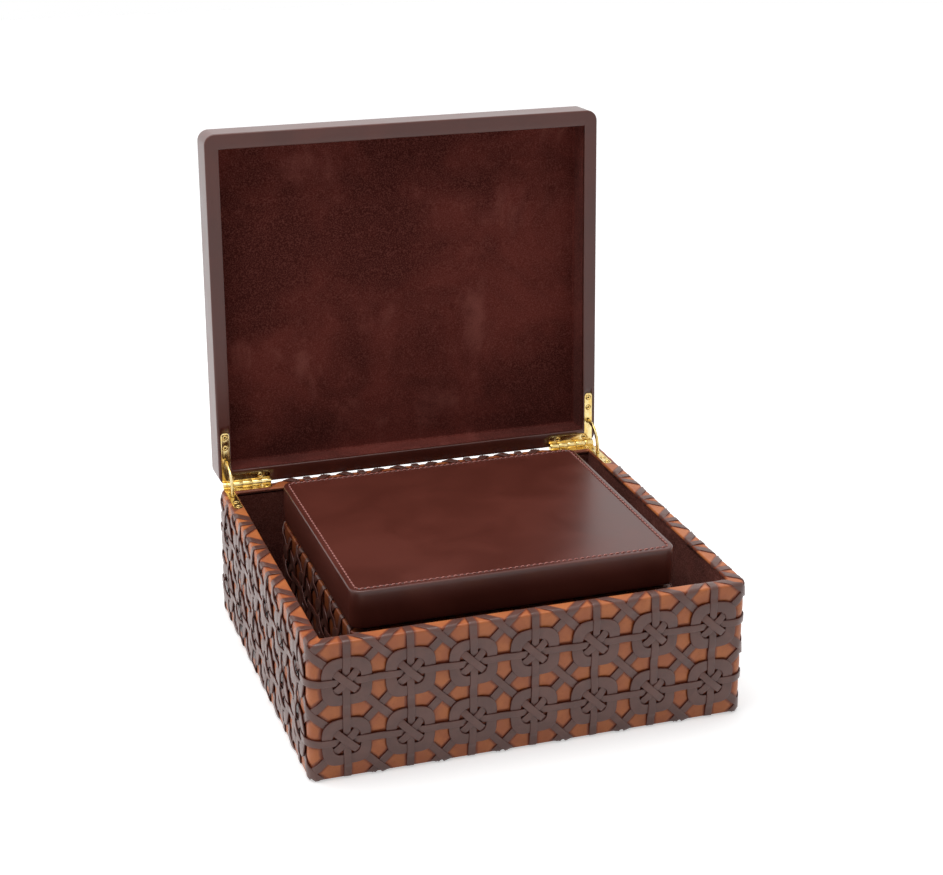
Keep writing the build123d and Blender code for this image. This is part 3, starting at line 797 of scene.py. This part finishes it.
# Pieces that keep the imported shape


def softened(node, width):
    """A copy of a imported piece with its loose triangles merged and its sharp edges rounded."""
    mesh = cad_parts[node].data.copy()
    shell = bmesh.new()
    shell.from_mesh(mesh)
    bmesh.ops.remove_doubles(shell, verts=shell.verts, dist=2e-6)
    bmesh.ops.dissolve_limit(shell, angle_limit=math.radians(1.5), verts=shell.verts, edges=shell.edges)
    shell.to_mesh(mesh)
    shell.free()
    mesh.shade_smooth()
    piece = linked(f"{node}_soft", mesh)
    edge = piece.modifiers.new("edge", "BEVEL")
    edge.width = width
    edge.segments = 2
    edge.limit_method = "ANGLE"
    edge.angle_limit = math.radians(32)
    edge.use_clamp_overlap = True
    edge.harden_normals = True
    return piece


# Finishes


class Tree:
    """The node tree of a material or of the world."""

    def __init__(self, owner):
        owner.use_nodes = True
        self.nodes = owner.node_tree.nodes
        self.links = owner.node_tree.links

    def put(self, socket, value):
        if hasattr(value, "is_linked"):
            self.links.new(value, socket)
        else:
            socket.default_value = value

    def node(self, kind, **inputs):
        """A new node with its inputs by name, with underscores for spaces."""
        node = self.nodes.new(f"ShaderNode{kind}")
        for name, value in inputs.items():
            self.put(node.inputs[name.replace("_", " ")], value)
        return node

    def span(self, value, low, high, to_low=0.0, to_high=1.0):
        """The value stretched from low..high to to_low..to_high, held at both ends."""
        node = self.node("MapRange", Value=value, From_Min=low, From_Max=high, To_Min=to_low, To_Max=to_high)
        node.interpolation_type = "SMOOTHSTEP"
        return node.outputs["Result"]

    def math(self, operation, a, b):
        node = self.node("Math")
        node.operation = operation
        self.put(node.inputs[0], a)
        self.put(node.inputs[1], b)
        return node.outputs[0]

    def straight_or_mirrored(self):
        """1 for what the camera sees straight, in a gloss or through glass, and 0 for soft light."""
        rays = self.node("LightPath").outputs
        seen = self.math("MAXIMUM", rays["Is Camera Ray"], rays["Is Glossy Ray"])
        return self.math("MAXIMUM", seen, rays["Is Transmission Ray"])


class Finish(Tree):
    """A material and its nodes; every pattern reads Object coordinates, in metres."""

    def __init__(self, name):
        self.material = bpy.data.materials.new(name)
        super().__init__(self.material)
        self.shader = self.nodes["Principled BSDF"]
        self.coordinates = self.node("TexCoord").outputs["Object"]

    def set(self, **values):
        """Shader sockets by name, with underscores for spaces."""
        for name, value in values.items():
            self.put(self.shader.inputs[name.replace("_", " ")], value)

    def noise(self, size, detail=3.0, roughness=0.5, distortion=0.0, stretch=None):
        """Noise between 0 and 1 whose features are about `size` metres; stretch scales each axis."""
        source = self.coordinates
        if stretch:
            source = self.node("Mapping", Vector=source, Scale=stretch).outputs["Vector"]
        node = self.node("TexNoise", Vector=source, Scale=1 / size, Detail=detail)
        self.put(node.inputs["Roughness"], roughness)
        self.put(node.inputs["Distortion"], distortion)
        return node.outputs["Fac"]

    def cells(self, size):
        """Distance to the nearest of scattered points about `size` metres apart."""
        return self.node("TexVoronoi", Vector=self.coordinates, Scale=1 / size).outputs["Distance"]

    def mark(self):
        node = self.node("Attribute")
        node.attribute_name = "mark"
        return node.outputs["Fac"]

    def mix(self, share, a, b):
        node = self.node("Mix")
        node.data_type = "RGBA"
        self.put(node.inputs["Factor"], share)
        colours = [socket for socket in node.inputs if socket.type == "RGBA"]
        self.put(colours[0], a)
        self.put(colours[1], b)
        return [socket for socket in node.outputs if socket.type == "RGBA"][0]

    def bump(self, height, depth, after=None):
        """Relief of `depth` metres, laid over an earlier relief."""
        node = self.node("Bump", Height=height, Distance=depth)
        if after:
            self.put(node.inputs["Normal"], after)
        return node.outputs["Normal"]

    def grain(self, pore, pore_depth, wave, detail, wave_depth):
        """Leather grain: fine pores with a slower waviness over them."""
        fine = self.bump(self.cells(pore), pore_depth)
        return self.bump(self.noise(wave, detail), wave_depth, fine)

    def polish(self, ior, coat, coat_roughness):
        self.set(IOR=ior, Coat_Weight=coat, Coat_Roughness=coat_roughness)


def rgb(red, green, blue):
    """A colour written in screen values 0 to 255, as the linear value that a shader takes."""
    screen = np.array([red, green, blue]) / 255
    linear = np.where(screen <= 0.04045, screen / 12.92, ((screen + 0.055) / 1.055) ** 2.4)
    return (*linear.tolist(), 1.0)


def tan_hide(name, dark, light):
    """Satin hide: cloudy dye, fine grain, and painted shade: darker where the leather lies beside the straps,
    in their shadow.
    """
    finish = Finish(name)
    cloud = finish.noise(26 * MM, 4, 0.55, 0.4)
    speck = finish.noise(1.6 * MM, 3, 0.6)
    colour = finish.mix(finish.span(cloud, 0.35, 0.7), dark, light)
    colour = finish.mix(finish.span(speck, 0.55, 0.8, 0, 0.35), colour, rgb(146, 74, 42))
    # painted shade: next to the straps (low mark) the hide turns dark red-brown, standing in for the shadow in
    # the gaps beside them
    colour = finish.mix(finish.span(finish.mark(), 0.0, 0.55, 0.8, 0), colour, rgb(110, 38, 18))
    grain = finish.grain(0.75 * MM, 0.02 * MM, 5 * MM, 3, 0.08 * MM)
    finish.set(Base_Color=colour, Roughness=finish.span(speck, 0.3, 0.8, 0.42, 0.55), Normal=grain)
    finish.polish(1.47, 0.12, 0.25)
    return finish.material


def strap_hide():
    """Dark dyed straps: soft sheen on top, painted darker on the cut edges."""
    finish = Finish("strap_hide")
    cloud = finish.noise(14 * MM, 4, 0.55, 0.3)
    speck = finish.noise(0.9 * MM, 2, 0.6)
    colour = finish.mix(finish.span(cloud, 0.3, 0.7), rgb(92, 57, 49), rgb(109, 70, 60))
    colour = finish.mix(finish.span(speck, 0.6, 0.85, 0, 0.3), colour, rgb(124, 86, 76))
    colour = finish.mix(finish.span(finish.mark(), 0.3, 0.9, 0, 0.85), colour, rgb(84, 34, 24))
    grain = finish.grain(0.6 * MM, 0.015 * MM, 3.5 * MM, 2, 0.06 * MM)
    finish.set(Base_Color=colour, Roughness=finish.span(speck, 0.3, 0.8, 0.34, 0.46), Normal=grain)
    finish.polish(1.48, 0.22, 0.22)
    return finish.material


def lid_hide():
    """Smooth polished dark hide with very fine pores and a faint cloudiness."""
    finish = Finish("lid_hide")
    cloud = finish.noise(45 * MM, 4, 0.5, 0.5)
    colour = finish.mix(finish.span(cloud, 0.3, 0.72), rgb(86, 40, 31), rgb(98, 47, 37))
    grain = finish.grain(0.55 * MM, 0.006 * MM, 9 * MM, 2, 0.03 * MM)
    finish.set(Base_Color=colour, Roughness=finish.span(cloud, 0.2, 0.8, 0.27, 0.34), Normal=grain)
    finish.polish(1.5, 0.2, 0.18)
    return finish.material


def suede(name, dark, mid, light, patch):
    """Brushed nap: cloudy strokes that lean one way or the other, a fine fibre grain and a soft sheen."""
    finish = Finish(name)
    strokes = finish.noise(patch, 5, 0.6, 0.35)
    lean = finish.noise(patch * 0.4, 4, 0.6, 0.4, stretch=(1.0, 1.0, 0.7))
    fibre = finish.noise(0.95 * MM, 2, 0.7)
    colour = finish.mix(finish.span(strokes, 0.36, 0.66), dark, mid)
    brushed = finish.math("MULTIPLY", finish.span(lean, 0.5, 0.72), finish.span(strokes, 0.42, 0.62))
    colour = finish.mix(finish.math("MULTIPLY", brushed, 0.75), colour, light)
    colour = finish.mix(finish.span(fibre, 0.42, 0.7, 0, 0.55), colour, light)
    colour = finish.mix(finish.span(fibre, 0.3, 0.48, 0.28, 0), colour, dark)
    nap = finish.bump(fibre, 0.22 * MM)
    nap = finish.bump(lean, 0.35 * MM, nap)
    finish.set(Base_Color=colour, Roughness=0.92, Specular_IOR_Level=0.12, Normal=nap)
    finish.set(Sheen_Weight=0.18, Sheen_Roughness=0.4, Sheen_Tint=(0.8, 0.42, 0.36, 1.0))
    return finish.material


def thread():
    finish = Finish("thread")
    twist = finish.noise(0.35 * MM, 1, 0.5, 0.0, stretch=(1.0, 1.0, 3.0))
    colour = finish.mix(finish.span(twist, 0.35, 0.65), rgb(150, 84, 78), rgb(206, 142, 132))
    finish.set(Base_Color=colour, Roughness=0.6, Normal=finish.bump(twist, 0.08 * MM))
    return finish.material


def brass(name, tone, pale):
    """Polished brass: a warm yellow with faint smears and hair-fine scratches."""
    finish = Finish(name)
    smear = finish.noise(6 * MM, 3, 0.6, 0.6)
    scratch = finish.noise(0.8 * MM, 2, 0.5, 0.0, stretch=(0.2, 1.0, 1.0))
    colour = finish.mix(finish.span(smear, 0.35, 0.7), tone, pale)
    colour = finish.mix(finish.span(finish.mark(), 0.3, 0.8), colour, rgb(58, 38, 20))
    finish.set(Base_Color=colour, Metallic=1.0, Roughness=finish.span(smear, 0.25, 0.75, 0.13, 0.24))
    finish.set(Normal=finish.bump(scratch, 0.008 * MM))
    return finish.material


def wood():
    """Plain board: growth lines along x, as stretched noise."""
    finish = Finish("board_wood")
    lines = finish.noise(4 * MM, 4, 0.6, 0.3, stretch=(0.06, 1.0, 1.0))
    colour = finish.mix(finish.span(lines, 0.3, 0.7), rgb(176, 132, 92), rgb(142, 100, 66))
    finish.set(Base_Color=colour, Roughness=0.75, Normal=finish.bump(lines, 0.05 * MM))
    return finish.material


def felt():
    finish = Finish("base_felt")
    fibre = finish.noise(0.8 * MM, 3, 0.7, 0.8)
    colour = finish.mix(finish.span(fibre, 0.35, 0.7), rgb(42, 28, 24), rgb(72, 52, 46))
    finish.set(Base_Color=colour, Roughness=0.95, Sheen_Weight=0.3, Normal=finish.bump(fibre, 0.3 * MM))
    return finish.material


# Boxes


def weave(case, hide, body):
    """The straps and rings of one box, one piece for each way they run."""
    uprights, rising, falling, rails, rings = Batch(), Batch(), Batch(), Batch(), Batch()
    for column in range(case.count):
        upright(case, uprights, column)
        diagonal(case, rising, column, 1)
        diagonal(case, falling, column, -1)
    for row in case.rows:
        rail(case, rails, row)
        for s in case.columns:
            ring(case, rings, s, row)
    straps = {"uprights": uprights, "rising_straps": rising, "falling_straps": falling, "rails": rails}
    for word, batch in straps.items():
        piece = batch.build(f"{case.name}_{word}")
        finished(piece, hide, "strap_leather", body, f"{case.name}_lattice_straps")
    finished(rings.build(f"{case.name}_rings"), hide, "strap_leather", body, f"{case.name}_lattice_rings")


def open_lid(case, pieces):
    """Turn a lid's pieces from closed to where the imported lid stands."""
    if not case.lid_angle:
        return
    for piece in pieces:
        points = case.turned(points_of(piece.data), -case.lid_angle)
        piece.data.vertices.foreach_set("co", points.ravel())
        piece.data.update()


def dress_box(case, looks):
    body, lid = f"{case.name}_box", f"{case.name}_lid"
    weave(case, looks["strap"], body)
    skin = cut(cover(case), hinge_cutters(case, "body"))
    finished(skin, looks[f"{case.name}_tan"], "tan_leather", body, f"{case.name}_leather_cover")
    band, panel, tray, sewn = lid_band(case), lid_panel(case), lid_tray(case), stitches(case)
    heads = screw_heads(case, "lid")
    open_lid(case, [band, panel, tray, sewn, heads])
    finished(band, looks["lid"], "lid_leather", lid, f"{case.name}_lid_side_band")
    finished(panel, looks["lid"], "lid_leather", lid, f"{case.name}_lid_top_leather")
    finished(tray, looks["lid_suede"], "lid_suede", lid, f"{case.name}_lid_lining")
    finished(sewn, looks["thread"], "lid_leather", lid)
    for side in ("left", "right"):
        hand = f"{case.name}_{side}"
        for part, rider, edge in (
            ("body_plate", body, PLATE_EDGE_ROUND),
            ("lid_plate", lid, PLATE_EDGE_ROUND),
            ("stay_arm", f"{hand}_stay", PLATE_EDGE_ROUND),
            ("pin", f"{hand}_hinge_pin", PIN_EDGE_ROUND),
        ):
            finished(softened(f"{hand}_{part}", edge), looks["brass"], "brass", rider, f"{hand}_{part}")
    finished(screw_heads(case, "body"), looks["screw"], "screw_brass", body, f"{case.name}_body_screws")
    finished(heads, looks["screw"], "screw_brass", lid, f"{case.name}_lid_screws")
    for node in ("wall_lining", "floor_lining"):
        paint(f"{case.name}_{node}", looks["body_suede"])
    paint(f"{case.name}_base_pad", looks["felt"])
    for node in ("base_board", "lid_top_board"):
        paint(f"{case.name}_{node}", looks["wood"])
    for side in ("front", "back", "left", "right"):
        paint(f"{case.name}_{side}_board", looks["wood"])
        paint(f"{case.name}_lid_{side}_rail", looks["wood"])


def paint(node, material):
    """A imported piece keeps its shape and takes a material."""
    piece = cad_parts[node]
    for slot in piece.material_slots:
        slot.material = material
    if not piece.material_slots:
        piece.data.materials.append(material)


# Studio


def aimed(name, data, across, upward, backward, place):
    """A camera or a lamp at a place, with its own three axes along the given directions."""
    holder = linked(name, data)
    turned = np.eye(4)
    turned[:3] = np.column_stack([across, upward, backward, place])
    holder.matrix_world = Matrix(turned.tolist())
    return holder


def camera():
    """The fitted camera: yaw to the right, pitch down, then roll, with the picture's centre shifted."""
    yaw, pitch, roll = CAMERA_YAW, CAMERA_PITCH, CAMERA_ROLL
    right = np.array([math.cos(yaw), -math.sin(yaw), 0])
    ahead = np.array([math.sin(yaw) * math.cos(pitch), math.cos(yaw) * math.cos(pitch), -math.sin(pitch)])
    up = np.cross(right, ahead)
    across = right * math.cos(roll) + up * math.sin(roll)
    upward = up * math.cos(roll) - right * math.sin(roll)
    eye = aimed("camera", bpy.data.cameras.new("camera"), across, upward, -ahead, CAMERA_PLACE)
    eye.data.sensor_width = SENSOR
    eye.data.lens = CAMERA_FOCAL_PIXELS * SENSOR / PICTURE[0]
    eye.data.shift_x = (PICTURE[0] / 2 - CAMERA_CENTRE[0]) / PICTURE[0]
    eye.data.shift_y = (CAMERA_CENTRE[1] - PICTURE[1] / 2) / PICTURE[0]
    eye.data.clip_end = 30
    bpy.context.scene.camera = eye


def lamp(name, place, target, size, power, mirrored=True):
    """A soft rectangular lamp turned to its target; unless mirrored, no gloss shows it."""
    light = bpy.data.lights.new(name, "AREA")
    light.shape = "RECTANGLE"
    light.size, light.size_y = size
    light.energy = power
    away = np.array(place, float) - np.array(target, float)
    away /= np.linalg.norm(away)
    side = np.cross((0, 1, 0) if abs(away[2]) > 0.95 else (0, 0, 1), away)
    side /= np.linalg.norm(side)
    aimed(name, light, side, np.cross(away, side), away, place).visible_glossy = mirrored


def studio():
    """White surroundings, bright behind and dim in front, and two soft lamps, overhead and low in front."""
    world = bpy.data.worlds.new("studio")
    bpy.context.scene.world = world
    tree = Tree(world)
    split = tree.node("SeparateXYZ", Vector=tree.node("TexCoord").outputs["Generated"])
    shade = tree.span(split.outputs["Y"], -0.6, 0.35, WORLD_FRONT, WORLD_BACK)
    seen = tree.node("Mix", Factor=tree.straight_or_mirrored(), A=shade, B=1.0)
    back = tree.nodes["Background"]
    back.inputs["Color"].default_value = (1, 1, 1, 1)
    tree.put(back.inputs["Strength"], seen.outputs["Result"])
    lamp("overhead", (-0.3, 0.0, 1.7), (0, 0, 0.1), (1.3, 1.1), OVERHEAD_POWER)
    lamp("low_front", (0.2, -1.9, 0.5), (0, 0, 0.06), (1.4, 0.6), LOW_POWER, mirrored=False)


def table_top():
    """A pale table: shaded by the lamps, and lifted to white where the camera looks straight at it."""
    edge = np.linspace(-TABLE_HALF, TABLE_HALF, 3)
    x, y = np.meshgrid(edge, edge)
    mesh = bpy.data.meshes.new("table_top")
    points = np.stack([x, y, np.zeros_like(x)], -1).reshape(-1, 3)
    mesh.from_pydata(points.tolist(), [], [face[::-1] for face in grid_faces(3, 3)])
    table = linked("table_top", mesh)
    finish = Finish("table_top")
    finish.set(Base_Color=(0.8, 0.8, 0.8, 1), Roughness=0.9, Specular_IOR_Level=0.0)
    lift = (TABLE_LIFT, TABLE_LIFT, TABLE_LIFT, 1)
    glow = finish.node("Emission", Color=lift, Strength=finish.straight_or_mirrored())
    both = finish.node("AddShader")
    finish.put(both.inputs[0], finish.shader.outputs[0])
    finish.put(both.inputs[1], glow.outputs[0])
    finish.put(finish.nodes["Material Output"].inputs["Surface"], both.outputs[0])
    mesh.materials.append(finish.material)


looks = {
    "large_tan": tan_hide("large_tan_hide", rgb(180, 98, 54), rgb(202, 117, 62)),
    # painted shade: the small box's hide is the same tan made darker, for the shade it stands in inside the
    # large box
    "small_tan": tan_hide("small_tan_hide", rgb(142, 72, 38), rgb(160, 86, 44)),
    "strap": strap_hide(),
    "lid": lid_hide(),
    "lid_suede": suede("lid_suede", rgb(74, 28, 23), rgb(116, 52, 44), rgb(150, 86, 77), 75 * MM),
    "body_suede": suede("body_suede", rgb(82, 40, 34), rgb(116, 62, 53), rgb(160, 104, 92), 35 * MM),
    "thread": thread(),
    "brass": brass("hinge_brass", rgb(226, 194, 118), rgb(242, 222, 166)),
    "screw": brass("screw_brass", rgb(214, 176, 98), rgb(236, 208, 142)),
    "wood": wood(),
    "felt": felt(),
}
large = Case("large", 7, 6, 2, 42.0 * MM, 26.8 * MM, LID_OPEN)
small = Case("small", 5, 4, 1, 45.0 * MM, 28.0 * MM, 0.0)
for case in (large, small):
    dress_box(case, looks)
camera()
studio()
table_top()

scene = bpy.context.scene
scene.view_settings.view_transform = "Standard"
